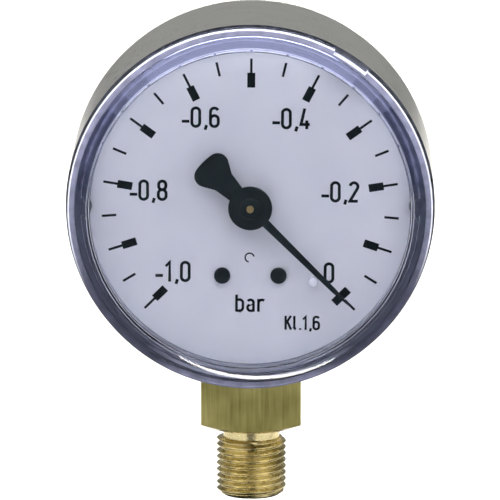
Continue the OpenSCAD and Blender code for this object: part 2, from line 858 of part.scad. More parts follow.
case();
window();
dial();
dial_screws();
dial_posts();
stop_pin();
pointer();
pointer_bush();
pinion();
sector_gear();
sector_arbor();
sector_pin();
hairspring();
hairspring_collet();
hairspring_stud();
front_plate();
rear_plate();
plate_pillars();
plate_screws();
movement_screws();
bourdon_tube();
tube_tip();
tip_pin();
link();
stem();
case_screws();
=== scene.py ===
import json
import math

import bmesh
import bpy
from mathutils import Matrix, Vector


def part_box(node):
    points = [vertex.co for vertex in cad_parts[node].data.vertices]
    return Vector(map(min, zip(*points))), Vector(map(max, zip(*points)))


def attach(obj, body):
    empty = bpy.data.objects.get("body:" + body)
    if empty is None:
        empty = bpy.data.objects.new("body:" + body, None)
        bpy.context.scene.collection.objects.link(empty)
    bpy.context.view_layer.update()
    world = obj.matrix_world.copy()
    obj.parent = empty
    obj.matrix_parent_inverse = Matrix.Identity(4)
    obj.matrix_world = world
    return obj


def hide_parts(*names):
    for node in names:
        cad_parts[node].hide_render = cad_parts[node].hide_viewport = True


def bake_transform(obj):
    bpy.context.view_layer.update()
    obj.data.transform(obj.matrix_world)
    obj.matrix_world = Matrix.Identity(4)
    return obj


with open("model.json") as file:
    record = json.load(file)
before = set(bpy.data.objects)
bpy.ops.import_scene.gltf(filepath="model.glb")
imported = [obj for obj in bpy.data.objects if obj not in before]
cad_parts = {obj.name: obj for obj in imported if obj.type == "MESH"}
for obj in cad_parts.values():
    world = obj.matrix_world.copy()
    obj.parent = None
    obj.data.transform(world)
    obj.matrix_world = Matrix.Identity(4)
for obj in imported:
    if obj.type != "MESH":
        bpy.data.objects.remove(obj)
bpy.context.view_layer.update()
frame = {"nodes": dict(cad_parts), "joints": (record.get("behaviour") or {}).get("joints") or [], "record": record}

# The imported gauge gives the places: the pointer's axis, the dial's face, the case's front and back
mm = 0.001
jointByName = {joint["name"]: joint for joint in frame["joints"]}
axisHeight = jointByName["pointer_sweep"]["pos_m"][2] / mm


def frontOf(node):
    return -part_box(node)[0].y / mm


def backOf(node):
    return -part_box(node)[1].y / mm


def halfWidth(node):
    low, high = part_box(node)
    return (high.x - low.x) / 2 / mm


def topOf(node):
    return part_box(node)[1].z / mm


caseFront = frontOf("case")
caseBack = backOf("case")
caseRadius = halfWidth("case")
dialFace = frontOf("dial")
windowFace = frontOf("window")
flangeRadius = halfWidth("window")
print("frame: axis", round(axisHeight, 2), "dial face", round(dialFace, 2),
      "window face", round(windowFace, 2))


# Small tools for points, outlines and meshes

def facing(x, y, w):  # x right and y up from the dial's middle, w towards the viewer
    return Vector((x, -w, axisHeight + y)) * mm


def polar(radius, degrees):
    angle = math.radians(degrees)
    return radius * math.cos(angle), radius * math.sin(angle)


def arc(middle, radius, start, end, steps):
    points = []
    for i in range(steps + 1):
        x, y = polar(radius, start + (end - start) * i / steps)
        points.append((middle[0] + x, middle[1] + y))
    return points


def softened(corners, steps=5):
    outline = []  # each corner is (x, y, radius); a radius turns it into an arc
    count = len(corners)
    for i, (x, y, radius) in enumerate(corners):
        if radius == 0:
            outline.append((x, y))
            continue
        here = Vector((x, y))
        before = (Vector(corners[i - 1][:2]) - here).normalized()
        after = (Vector(corners[(i + 1) % count][:2]) - here).normalized()
        half = before.angle(after) / 2
        middle = here + (before + after).normalized() * radius / math.sin(half)
        start = here + before * radius / math.tan(half) - middle
        end = here + after * radius / math.tan(half) - middle
        turn = start.angle_signed(end)
        for k in range(steps + 1):
            share = -turn * k / steps
            c, s = math.cos(share), math.sin(share)
            outline.append((middle.x + start.x * c - start.y * s, middle.y + start.x * s + start.y * c))
    return outline


def newPiece(name, points, faces, materials, faceSlots=None):
    mesh = bpy.data.meshes.new(name)
    mesh.from_pydata([tuple(p) for p in points], [], faces)
    for material in materials:
        mesh.materials.append(material)
    if faceSlots:
        mesh.polygons.foreach_set("material_index", faceSlots)
    shape = bmesh.new()
    shape.from_mesh(mesh)
    bmesh.ops.remove_doubles(shape, verts=shape.verts, dist=1e-7)
    bmesh.ops.dissolve_degenerate(shape, edges=shape.edges, dist=1e-8)
    bmesh.ops.recalc_face_normals(shape, faces=shape.faces)
    shape.to_mesh(mesh)
    shape.free()
    piece = bpy.data.objects.new(name, mesh)
    bpy.context.scene.collection.objects.link(piece)
    return piece


def spun(profile, turnSteps, place, closed=False):
    points = []  # profile of (radius, distance along the axis), ends at radius 0 unless closed
    faces = []
    count = len(profile)
    for i in range(turnSteps):
        for radius, along in profile:
            x, y = polar(radius, 360 * i / turnSteps)
            points.append(place(x, y, along))
    last = count if closed else count - 1
    for i in range(turnSteps):
        a = i * count
        b = (i + 1) % turnSteps * count
        for k in range(last):
            n = (k + 1) % count
            faces.append((a + k, b + k, b + n, a + n))
    return points, faces


def slab(outline, low, high, place):
    count = len(outline)  # a flat outline given a thickness
    points = [place(x, y, low) for x, y in outline] + [place(x, y, high) for x, y in outline]
    faces = [tuple(range(count)), tuple(range(count, 2 * count))]
    for i in range(count):
        n = (i + 1) % count
        faces.append((i, n, count + n, count + i))
    return points, faces


def plainMesh(piece):
    graph = bpy.context.evaluated_depsgraph_get()
    made = bpy.data.meshes.new_from_object(piece.evaluated_get(graph))
    piece.modifiers.clear()
    old = piece.data
    piece.data = made
    made.name = piece.name
    bpy.data.meshes.remove(old)


def combine(piece, tool, operation):
    modifier = piece.modifiers.new("combine", "BOOLEAN")
    modifier.operation = operation
    modifier.solver = "EXACT"
    modifier.object = tool
    plainMesh(piece)
    bpy.data.objects.remove(tool)


def smooth(piece, sharpDegrees):
    piece.data.shade_smooth()
    piece.data.set_sharp_from_angle(angle=math.radians(sharpDegrees))
    even = piece.modifiers.new("even", "WEIGHTED_NORMAL")  # large faces look flat beside small rounds
    even.weight = 100
    even.keep_sharp = True
    plainMesh(piece)


def settle(piece, body, slot, *nodes):
    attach(piece, body)
    if nodes:
        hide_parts(*nodes)


# Finishes: each is a small node tree on Object coordinates

noiseSpan = (0.3, 0.7)  # nearly all values of the noise lie in here


def addNode(tree, kind, inputs=None, **settings):
    node = tree.nodes.new(kind)
    for key, value in settings.items():
        setattr(node, key, value)
    for key, value in (inputs or {}).items():
        if isinstance(value, bpy.types.NodeSocket):
            tree.links.new(value, node.inputs[key])
        else:
            node.inputs[key].default_value = value
    return node


def math2(tree, operation, a, b):
    return addNode(tree, "ShaderNodeMath", {0: a, 1: b}, operation=operation).outputs[0]


def newFinish(name, **sockets):
    material = bpy.data.materials.new(name)
    material.use_nodes = True
    tree = material.node_tree
    shader = tree.nodes["Principled BSDF"]
    for key, value in sockets.items():
        shader.inputs[key.replace("_", " ")].default_value = value
    return material, tree, shader


def grain(tree, stretch, scale, detail=3.0):
    where = addNode(tree, "ShaderNodeTexCoord")
    turned = addNode(tree, "ShaderNodeMapping", {"Vector": where.outputs["Object"], "Scale": stretch})
    return addNode(tree, "ShaderNodeTexNoise",
                   {"Vector": turned.outputs["Vector"], "Scale": scale, "Detail": detail})


def ramp(tree, fac, stops):
    node = addNode(tree, "ShaderNodeValToRGB", {"Fac": fac})
    elements = node.color_ramp.elements
    while len(elements) < len(stops):
        elements.new(0.5)
    for element, (place, color) in zip(elements, stops):
        element.position = place
        element.color = (*color, 1)
    return node.outputs["Color"]


def between(tree, fac, low, high):
    return addNode(tree, "ShaderNodeMapRange", {
        "Value": fac, "From Min": noiseSpan[0], "From Max": noiseSpan[1], "To Min": low, "To Max": high,
    }).outputs["Result"]


def dent(tree, shader, height, strength, distance):
    bump = addNode(tree, "ShaderNodeBump", {"Height": height, "Strength": strength, "Distance": distance})
    tree.links.new(bump.outputs["Normal"], shader.inputs["Normal"])


def metalFinish(name, dark, light, rough, stretch, scale, bumpDepth):
    material, tree, shader = newFinish(name, Metallic=1.0)
    streak = grain(tree, stretch, scale, 4.0).outputs["Fac"]
    cloud = grain(tree, (1, 1, 1), 260.0, 2.0).outputs["Fac"]
    half = math2(tree, "MULTIPLY", math2(tree, "ADD", streak, cloud), 0.5)
    tree.links.new(ramp(tree, half, [(0.36, dark), (0.64, light)]), shader.inputs["Base Color"])
    tree.links.new(between(tree, half, rough[0], rough[1]), shader.inputs["Roughness"])
    dent(tree, shader, streak, 0.35, bumpDepth)
    return material


def paintFinish(name, dark, light, rough, scale, bumpDepth, shine=0.5):
    material, tree, shader = newFinish(name, Specular_IOR_Level=shine)
    cloud = grain(tree, (1, 1, 1), scale * 0.08, 3.0).outputs["Fac"]
    fine = grain(tree, (1, 1, 1), scale, 2.0).outputs["Fac"]
    tree.links.new(ramp(tree, cloud, [(0.35, dark), (0.65, light)]), shader.inputs["Base Color"])
    tree.links.new(between(tree, fine, rough[0], rough[1]), shader.inputs["Roughness"])
    dent(tree, shader, fine, 0.3, bumpDepth)
    return material


# Mottled paint whose colour changes with the height over the pointer's axis: painted light and shade for the parts
# round the window's rim
def paintedLightAndShade(name, spread, bands):
    material, tree, shader = newFinish(name, Specular_IOR_Level=0.3)
    cloud = grain(tree, (1, 1, 1), 720.0, 3.0).outputs["Fac"]
    fine = grain(tree, (1, 1, 1), 9000.0, 2.0).outputs["Fac"]
    where = addNode(tree, "ShaderNodeTexCoord").outputs["Object"]
    split = addNode(tree, "ShaderNodeSeparateXYZ", {0: where})
    low, high = bands[0][0], bands[-1][0]
    height = addNode(tree, "ShaderNodeMapRange", {
        "Value": split.outputs["Z"],
        "From Min": (axisHeight + low) * mm,
        "From Max": (axisHeight + high) * mm,
    }).outputs[0]
    shade = ramp(tree, height, [((y - low) / (high - low), color) for y, color in bands])
    mottle = between(tree, cloud, 1 - spread, 1 + spread)
    mixed = addNode(tree, "ShaderNodeVectorMath", {0: shade, "Scale": mottle}, operation="SCALE").outputs[0]
    tree.links.new(mixed, shader.inputs["Base Color"])
    tree.links.new(between(tree, fine, 0.4, 0.6), shader.inputs["Roughness"])
    dent(tree, shader, fine, 0.3, 0.00001)
    return material


def clearFinish(name):
    material, tree, shader = newFinish(name, IOR=1.49, Transmission_Weight=1.0,
                                       Specular_Tint=(0.60, 0.64, 1.0, 1))
    cloud = grain(tree, (1, 1, 1), 180.0, 2.0).outputs["Fac"]
    tint = ramp(tree, cloud, [(0.3, (0.97, 0.98, 1.0)), (0.7, (0.985, 0.99, 1.0))])
    tree.links.new(tint, shader.inputs["Base Color"])
    tree.links.new(between(tree, cloud, 0.0, 0.02), shader.inputs["Roughness"])
    depth = addNode(tree, "ShaderNodeVolumeAbsorption", {"Color": (0.52, 0.58, 0.95, 1), "Density": 100.0})
    tree.links.new(depth.outputs["Volume"], tree.nodes["Material Output"].inputs["Volume"])
    return material


finishes = {
    "case_steel": metalFinish("drawnSteel", (0.605, 0.605, 0.575), (0.635, 0.635, 0.60), (0.26, 0.31),
                              (1, 9, 1), 220.0, 0.0000025),
    "window_clear": clearFinish("clearMoulding"),
    "dial_white": paintFinish("dialEnamel", (0.84, 0.835, 0.845), (0.87, 0.865, 0.87), (0.5, 0.65),
                              3000.0, 0.000005),
    "black": paintFinish("pointerBlack", (0.006, 0.013, 0.013), (0.010, 0.020, 0.019), (0.42, 0.6),
                         5000.0, 0.00001, 0.3),
    "brass": metalFinish("stampedBrass", (0.58, 0.42, 0.17), (0.74, 0.57, 0.27), (0.25, 0.45),
                         (1, 1, 6), 500.0, 0.00002),
    "stem_brass": metalFinish("drawnBar", (0.44, 0.385, 0.12), (0.64, 0.575, 0.215), (0.28, 0.38),
                              (14, 14, 0.6), 220.0, 0.000004),
    "bronze": metalFinish("springBronze", (0.52, 0.30, 0.15), (0.70, 0.44, 0.25), (0.25, 0.4),
                          (1, 6, 1), 300.0, 0.00001),
    "screw_steel": metalFinish("turnedSteel", (0.42, 0.43, 0.44), (0.60, 0.61, 0.62), (0.25, 0.45),
                               (1, 1, 1), 900.0, 0.00001),
}
threadFinish = metalFinish("cutBrass", (0.30, 0.245, 0.095), (0.70, 0.59, 0.30), (0.17, 0.36),
                           (2, 2, 7), 420.0, 0.00004)
neckFinish = metalFinish("turnedBrass", (0.42, 0.35, 0.16), (0.74, 0.63, 0.34), (0.18, 0.36),
                         (2, 2, 6), 420.0, 0.00004)
printFinish = paintFinish("printInk", (0.004, 0.009, 0.008), (0.007, 0.013, 0.012), (0.45, 0.6),
                          4000.0, 0.000005, 0.2)
pinFinish = paintFinish("pinWhite", (0.96, 0.96, 0.98), (0.99, 0.99, 1.0), (0.16, 0.28),
                        2500.0, 0.000005, 0.9)
# Painted shade: the case's front edge is a much darker steel than the case, for the dark line round the flange
lipPaintedShade = metalFinish("shearedSteel", (0.10, 0.11, 0.13), (0.20, 0.21, 0.24), (0.25, 0.4),
                        (1, 1, 1), 900.0, 0.00001)
# Painted highlight and shade on the flange's round outer edge: a light line over the upper part, dark on the lower
# sides and bottom
flangeEdgeLightShade = paintedLightAndShade("mouldedEdge", 0.1, [
    (-24.5, (0.11, 0.11, 0.19)), (-23.3, (0.09, 0.09, 0.16)), (-21.0, (0.035, 0.037, 0.06)),
    (-11.0, (0.05, 0.05, 0.08)), (-4.0, (0.69, 0.70, 0.80)), (25.0, (0.69, 0.70, 0.80)),
])
# Painted light and shade on the flange's land: lighter at the top and the very bottom, dark on the lower sides
landLightShade = paintedLightAndShade("frostedLand", 0.25, [
    (-24.5, (0.21, 0.215, 0.30)), (-23.3, (0.17, 0.175, 0.25)), (-21.0, (0.04, 0.043, 0.07)),
    (-12.0, (0.045, 0.048, 0.075)), (-5.0, (0.13, 0.135, 0.19)), (12.0, (0.21, 0.215, 0.30)),
    (25.0, (0.21, 0.215, 0.30)),
])
# Painted shade on the dial's edge under the window's skirt and on the window's inner bulges, with painted light in
# bands above the axis
skirtPaintedShadeLight = paintedLightAndShade("dialEdge", 0.5, [
    (-24.5, (0.012, 0.016, 0.018)), (-10.0, (0.02, 0.026, 0.029)), (1.0, (0.06, 0.072, 0.08)),
    (5.0, (0.30, 0.305, 0.38)), (12.0, (0.42, 0.425, 0.53)), (25.0, (0.15, 0.155, 0.20)),
])
# Painted light and shade on a ring of the dial under the skirt: white at the bottom, where it shows through the
# shoulder as a bright line, dark elsewhere and a little lighter above the axis
rimPaintedLightShade = paintedLightAndShade("dialRim", 0.1, [
    (-22.3, (1.0, 0.98, 0.88)), (-18.5, (0.02, 0.026, 0.029)), (1.0, (0.06, 0.075, 0.08)),
    (6.0, (0.22, 0.225, 0.285)), (25.0, (0.10, 0.105, 0.14)),
])
print("finishes done")

for part in frame["record"]["subparts"]:
    node = frame["nodes"][part["node"]]
    node.data.materials.clear()
    node.data.materials.append(finishes[part["material_slot"]])


# Case: drawn cup with a plain front edge, a square hole below and two screw recesses in its back

caseShape = {
    "wall": 0.75,
    "cornerRadius": 2.0,
    "lipRadius": 0.01,
    "lipStrips": range(13, 25),  # steps of the outline on the front edge, under the flange, given painted shade
    "holeWidth": 14.3,
    "holeTop": -16.0,
    "recessRadius": 2.5,
    "recessFloor": -7.75,
    "cupFront": -7.0,
    "screwHoleRadius": 1.05,
    "turnSteps": 240,
}
screwLow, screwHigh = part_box("case_screws")
caseScrewHead = (screwHigh.z - screwLow.z) / 2 / mm
caseScrewX = halfWidth("case_screws") - caseScrewHead
caseScrewY = (screwHigh.z + screwLow.z) / 2 / mm - axisHeight
caseScrewPlaces = [(-caseScrewX, caseScrewY), (caseScrewX, caseScrewY)]


def roundPost(name, place, radius, low, high, sides=64):
    outline = arc(place, radius, 0, 360 - 360 / sides, sides - 1)
    return newPiece(name, *slab(outline, low, high, facing), [])


def makeCase():
    s = caseShape
    inner = caseRadius - s["wall"]
    floor = caseBack + s["wall"]
    profile = softened([
        (0, caseBack, 0),
        (caseRadius, caseBack, s["cornerRadius"]),
        (caseRadius, caseFront, s["lipRadius"]),
        (inner, caseFront, s["lipRadius"]),
        (inner, floor, s["cornerRadius"] - s["wall"]),
        (0, floor, 0),
    ], 8)
    points, faces = spun(profile, s["turnSteps"], facing)
    strips = len(profile) - 1
    # the front edge's strips get the painted shade
    lip = [int(n % strips in s["lipStrips"]) for n in range(len(faces))]
    piece = newPiece("caseShell", points, faces, [finishes["case_steel"], lipPaintedShade], lip)
    half = s["holeWidth"] / 2
    below, above = -caseRadius - 1, s["holeTop"]
    square = [(-half, below), (half, below), (half, above), (-half, above)]
    combine(piece, newPiece("squareCut", *slab(square, -half, half, facing), []), "DIFFERENCE")
    for place in caseScrewPlaces:
        cup = roundPost("cup", place, s["recessRadius"] + s["wall"], floor - 0.1, s["cupFront"])
        combine(piece, cup, "UNION")
        recess = roundPost("recess", place, s["recessRadius"], caseBack - 1, s["recessFloor"])
        combine(piece, recess, "DIFFERENCE")
        hole = roundPost("hole", place, s["screwHoleRadius"], caseBack, 0)
        combine(piece, hole, "DIFFERENCE")
    smooth(piece, 28)
    settle(piece, "gauge", "case_steel", "case")


makeCase()
print("case done")


# Window: one clear moulding with a flange, a sloped shoulder, a flat face and a skirt

windowShape = {
    "flangeHeight": 2.2,
    "landWidth": 1.0,
    "landStep": 0.45,
    "faceRadius": 22.4,
    "paneThickness": 1.6,
    "skirtRadius": 24.65,
    "skirtThickness": 2.35,
    "innerRound": 0.02,
    "paneRound": 0.22,
    "faceEdge": 0.02,
    "stepRound": 0.05,
    "flangeEdge": 0.3,
    "flangeRear": 0.15,
    "skirtDepth": 1.5,
    "landStrips": (18, 19),  # steps of the outline on the narrow land, which gets painted light and shade
    "edgeStrips": (20, 21, 22, 23),  # and on the flange's round outer edge, which gets painted light and shade
    "notch": (50.0, 62.4),
    "notchRadius": 24.5,
    "lugLength": 3.0,
    "lugHeight": 0.4,
    "lugShade": 0.1,  # a bulge gets painted shade from this height on
    "lugReach": 0.11,  # what lies this near to the wall bulges with it
    "lugBelowPane": 0.5,
    "turnSteps": 360,
}


def makeWindow():
    s = windowShape
    rear = caseFront - s["skirtDepth"]
    land = caseFront + s["flangeHeight"]
    landRadius = flangeRadius - s["landWidth"]
    inside = s["skirtRadius"] - s["skirtThickness"]
    paneRear = windowFace - s["paneThickness"]
    profile = softened([
        (0, windowFace, 0),
        (s["faceRadius"], windowFace, s["faceEdge"]),
        (landRadius, land + s["landStep"], s["stepRound"]),
        (landRadius, land, s["stepRound"]),
        (flangeRadius, land, s["flangeEdge"]),
        (flangeRadius, caseFront, s["flangeRear"]),
        (s["skirtRadius"], caseFront, 0),
        (s["skirtRadius"], rear, s["innerRound"]),
        (inside, rear, s["innerRound"]),
        (inside, paneRear, s["paneRound"]),
        (0, paneRear, 0),
    ], 5)

    def place(x, y, w):
        radius = math.hypot(x, y)
        onWall = abs(radius - inside) < s["lugReach"] and w < paneRear - s["lugBelowPane"]
        if onWall and abs(y) < s["lugLength"] / 2:  # two small bulges inside, left and right
            lug = s["lugHeight"] * math.cos(math.pi * y / s["lugLength"]) ** 2
            x *= 1 - lug / radius
        return facing(x, y, w)
    points, faces = spun(profile, s["turnSteps"], place)
    strips = len(profile) - 1
    slotOf = {n: 1 for n in s["edgeStrips"]} | {n: 2 for n in s["landStrips"]}
    slots = [slotOf.get(n % strips, 0) for n in range(len(faces))]
    for n, face in enumerate(faces):
        nearest = min(math.hypot(points[i].x, points[i].z - axisHeight * mm) for i in face) / mm
        # the bulges' faces get painted shade
        if s["lugShade"] < inside - nearest < s["lugHeight"] + s["lugShade"]:
            slots[n] = 3
    materials = [finishes["window_clear"], flangeEdgeLightShade, landLightShade, skirtPaintedShadeLight]
    piece = newPiece("windowClear", points, faces, materials, slots)
    outer = flangeRadius + 1
    wedge = arc((0, 0), s["notchRadius"], s["notch"][0], s["notch"][1], 16)
    wedge += arc((0, 0), outer, s["notch"][1], s["notch"][0], 16)
    points, faces = slab(wedge, caseFront - 0.01, land + 1, facing)
    combine(piece, newPiece("notchCut", points, faces, materials, [1] * len(faces)), "DIFFERENCE")
    smooth(piece, 24)
    settle(piece, "gauge", "window_clear", "window")


makeWindow()
print("window done")


# Dial: pressed disc with its holes, then the printed scale and figures

dialShape = {
    "thickness": 0.6,
    "holeRadius": 1.6,
    "holeRound": 0.08,
    "edgeRadius": 0.12,
    "rimRadius": 22.3,
    # this ring of the dial gets the painted light at its bottom
    "paintedLightRing": (22.6, 23.2),
    "rimStrips": (5, 7, 8, 9, 10, 11),  # steps of the outline under the window's skirt, which get painted shade
    "paintedLightStrip": 6,
    "printHeight": 0.02,
    "printSink": 0.02,
    "letterSink": 0.01,
    "printTurn": -0.4,
    "zeroAngle": -45.0,
    "divisions": 20,
    "sweep": 270.0,
    "thin": {"outer": 20.6, "inner": 18.6, "width": 0.34},
    "block": {"outer": 18.62, "inner": 16.55, "width": 1.1},
    "zeroBand": {"outer": 18.485, "inner": 17.315, "width": 2.7},
    "turnSteps": 360,
}


def makeDial():
    s = dialShape
    radius = halfWidth("dial")
    low = dialFace - s["thickness"]
    profile = softened([
        (s["holeRadius"], dialFace, s["holeRound"]),
        (s["rimRadius"], dialFace, 0),
        (s["paintedLightRing"][0], dialFace, 0),
        (s["paintedLightRing"][1], dialFace, 0),
        (radius, dialFace, s["edgeRadius"]),
        (radius, low, s["edgeRadius"]),
        (s["holeRadius"], low, s["holeRound"]),
    ], 4)
    points, faces = spun(profile, s["turnSteps"], facing, True)
    slotOf = {s["paintedLightStrip"]: 1} | {n: 2 for n in s["rimStrips"]}
    slots = [slotOf.get(n % len(profile), 0) for n in range(len(faces))]
    materials = [finishes["dial_white"], rimPaintedLightShade, skirtPaintedShadeLight]
    piece = newPiece("dialDisc", points, faces, materials, slots)
    smooth(piece, 40)
    settle(piece, "gauge", "dial_white", "dial")


def newTree(name, inputs):
    tree = bpy.data.node_groups.new(name, "GeometryNodeTree")
    for label, kind in inputs:
        tree.interface.new_socket(label, in_out="INPUT", socket_type=kind)
    tree.interface.new_socket("Geometry", in_out="OUTPUT", socket_type="NodeSocketGeometry")
    return tree, tree.nodes.new("NodeGroupInput").outputs, tree.nodes.new("NodeGroupOutput").inputs


def grown(name, tree, values):
    piece = bpy.data.objects.new(name, bpy.data.meshes.new(name))
    bpy.context.scene.collection.objects.link(piece)
    modifier = piece.modifiers.new(name, "NODES")
    modifier.node_group = tree
    for item in tree.interface.items_tree:
        if item.in_out == "INPUT":
            modifier[item.identifier] = values[item.name]
    plainMesh(piece)
    return piece


def closeTree(tree, geometry, material, result):
    solid = addNode(tree, "GeometryNodeRealizeInstances", {"Geometry": geometry}).outputs[0]
    done = addNode(tree, "GeometryNodeSetMaterial", {"Geometry": solid, "Material": material}).outputs[0]
    tree.links.new(done, result["Geometry"])


# Marks on a circle: count and angles in, one realised mesh out
def markTree():
    tree, given, result = newTree("dialMarks", [
        ("Count", "NodeSocketInt"), ("Start", "NodeSocketFloat"), ("Step", "NodeSocketFloat"),
        ("Outer", "NodeSocketFloat"), ("Inner", "NodeSocketFloat"), ("Width", "NodeSocketFloat"),
        ("Height", "NodeSocketFloat"), ("Middle", "NodeSocketVector"), ("Ink", "NodeSocketMaterial"),
    ])
    index = addNode(tree, "GeometryNodeInputIndex").outputs[0]
    angle = math2(tree, "ADD", given["Start"], math2(tree, "MULTIPLY", index, given["Step"]))
    radius = math2(tree, "MULTIPLY", math2(tree, "ADD", given["Outer"], given["Inner"]), 0.5)
    x = math2(tree, "MULTIPLY", radius, math2(tree, "COSINE", angle, 0))
    z = math2(tree, "MULTIPLY", radius, math2(tree, "SINE", angle, 0))
    around = addNode(tree, "ShaderNodeCombineXYZ", {"X": x, "Z": z}).outputs[0]
    spot = addNode(tree, "ShaderNodeVectorMath", {0: around, 1: given["Middle"]}, operation="ADD").outputs[0]
    spots = addNode(tree, "GeometryNodePoints", {"Count": given["Count"], "Position": spot}).outputs[0]
    length = math2(tree, "SUBTRACT", given["Outer"], given["Inner"])
    size = addNode(tree, "ShaderNodeCombineXYZ",
                   {"X": length, "Y": given["Height"], "Z": given["Width"]}).outputs[0]
    mark = addNode(tree, "GeometryNodeMeshCube", {"Size": size}).outputs["Mesh"]
    turn = addNode(tree, "ShaderNodeCombineXYZ", {"Y": math2(tree, "MULTIPLY", angle, -1)}).outputs[0]
    marks = addNode(tree, "GeometryNodeInstanceOnPoints",
                    {"Points": spots, "Instance": mark, "Rotation": turn}).outputs[0]
    closeTree(tree, marks, given["Ink"], result)
    return tree


def makeScale():
    s = dialShape
    tree = markTree()
    step = s["sweep"] / s["divisions"]
    zero = s["zeroAngle"] + s["printTurn"]
    middle = facing(0, 0, dialFace + (s["printHeight"] - s["printSink"]) / 2)
    rows = [
        ("scaleTicks", s["thin"], s["divisions"] + 1, zero, step),
        ("scaleBlocks", s["block"], s["divisions"] // 2, zero + 2 * step, 2 * step),
        ("zeroBand", s["zeroBand"], 1, zero, step),
    ]
    for name, mark, count, start, stepAngle in rows:
        piece = grown(name, tree, {
            "Count": count, "Start": math.radians(start), "Step": math.radians(stepAngle),
            "Outer": mark["outer"] * mm, "Inner": mark["inner"] * mm, "Width": mark["width"] * mm,
            "Height": (s["printHeight"] + s["printSink"]) * mm, "Middle": middle, "Ink": printFinish,
        })
        settle(piece, "gauge", "black")


# Narrow stroke lettering: a glyph is a list of strokes in units of its own height
glyphShape = {"width": 0.37, "top": 0.88, "lower": 0.64}


def ring(left, right, low, high, start=90.0, turn=360.0):
    half = (right - left) / 2  # an upright stadium, or a stretch of it, from an angle round its outline
    points = []
    steps = 24
    for i in range(steps + 1):
        angle = start + turn * i / steps
        x, y = polar(half, angle)
        middle = high - half if y > 1e-6 else low + half
        points.append((left + half + x, middle + y))
    return points


def glyphs():
    w, top, lower = glyphShape["width"], glyphShape["top"], glyphShape["lower"]
    bow = w / 2
    return {
        "-": (0.47, [[(0.0, 0.24), (0.36, 0.24)]]),
        ",": (0.25, [[(0.07, 0.07), (0.0, -0.16)]]),
        ".": (0.23, [[(0.05, -0.05), (0.05, 0.06)]]),
        "0": (0.62, [ring(0, w, 0, top)]),
        "1": (0.50, [[(0.02, top - 0.2), (0.2, top), (0.2, -0.05)]]),
        "2": (0.62, [arc((bow, top - bow), bow, 170, -25, 12) + [(0.0, 0.0), (w, 0.0)]]),
        "4": (0.62, [[(0.17, top + 0.05), (0.0, 0.17), (w + 0.04, 0.17)],
                     [(0.27, 0.36), (0.27, -0.05)]]),
        "6": (0.62, [arc((bow, top - bow), bow, 25, 180, 10) + ring(0, w, 0, 0.52, 180, 360)]),
        "8": (0.62, [ring(0.015, w - 0.015, 0.47, top), ring(0, w, 0, 0.47)]),
        "b": (0.62, [[(0, top + 0.05), (0, -0.05)],
                     [(0, 0.0), (0.18, 0.0)] + arc((0.18, 0.18), 0.18, -90, 0, 6)
                     + arc((0.18, lower - 0.18), 0.18, 0, 90, 6) + [(0, lower)]]),
        "a": (0.62, [arc((0.17, lower - 0.17), 0.17, 150, 0, 8) + [(0.34, -0.05)],
                     [(0.34, 0.36), (0.17, 0.36)] + arc((0.18, 0.18), 0.18, 90, 270, 8) + [(0.34, 0.02)]]),
        "r": (0.42, [[(0, lower + 0.05), (0, -0.05)], arc((0.2, lower - 0.2), 0.2, 180, 50, 8)]),
        "K": (0.60, [[(0, top + 0.05), (0, -0.05)],
                     [(0.36, top + 0.05), (0, 0.36)], [(0.13, 0.5), (0.38, -0.05)]]),
        "l": (0.36, [[(0, top + 0.05), (0, 0.12)] + arc((0.12, 0.12), 0.12, 180, 270, 5)]),
    }


def ribbon(points, width):
    closed = (Vector(points[0]) - Vector(points[-1])).length < 1e-6
    line = [Vector(p) for p in (points[:-1] if closed else points)]
    count = len(line)
    left, right = [], []
    for i, here in enumerate(line):
        before = line[i - 1] if closed or i > 0 else None
        after = line[(i + 1) % count] if closed or i < count - 1 else None
        into = (here - before).normalized() if before else (after - here).normalized()
        out = (after - here).normalized() if after else into
        side = Vector((-into.y - out.y, into.x + out.x)).normalized()
        reach = width / 2 / max(0.5, side.dot(Vector((-into.y, into.x))))
        left.append(here + side * reach)
        right.append(here - side * reach)
    return left, right, closed


def writeLine(points, faces, text, x, y, height, stroke):
    table = glyphs()
    low, high = dialFace - dialShape["letterSink"], dialFace + dialShape["printHeight"]
    turn = math.radians(dialShape["printTurn"])
    c, k = math.cos(turn), math.sin(turn)
    for letter in text:
        advance, strokes = table[letter]
        for path in strokes:
            left, right, closed = ribbon(path, stroke / height)
            base = len(points)
            count = len(left)
            for side in (left, right):
                for level in (low, high):
                    for p in side:
                        px, py = x + stroke / 2 + p.x * height, y + stroke / 2 + p.y * height
                        points.append(facing(px * c - py * k, px * k + py * c, level))
            rows = [base, base + count, base + 3 * count, base + 2 * count]
            for i in range(count if closed else count - 1):
                n = (i + 1) % count
                for row in range(4):
                    a, b = rows[row], rows[(row + 1) % 4]
                    faces.append((a + i, a + n, b + n, b + i))
            if not closed:
                faces.append(tuple(rows))
                faces.append(tuple(row + count - 1 for row in reversed(rows)))
        x += advance * height


lettering = {
    "figureHeight": 2.95,
    "figureStroke": 0.41,
    "figures": [
        ("-1,0", -13.3, -10.85), ("-0,8", -16.9, 0.55), ("-0,6", -9.75, 10.85),
        ("-0,4", 2.75, 10.75), ("-0,2", 9.6, 0.55), ("0", 10.2, -10.88),
    ],
    "unit": ("bar", -2.0, -15.0, 2.45, 0.36),
    "accuracy": ("Kl.1,6", 4.85, -17.5, 2.0, 0.32),
    "ring": {"place": (-0.1, -7.3), "radius": 0.62, "stroke": 0.2, "start": 12.0, "end": 258.0},
}


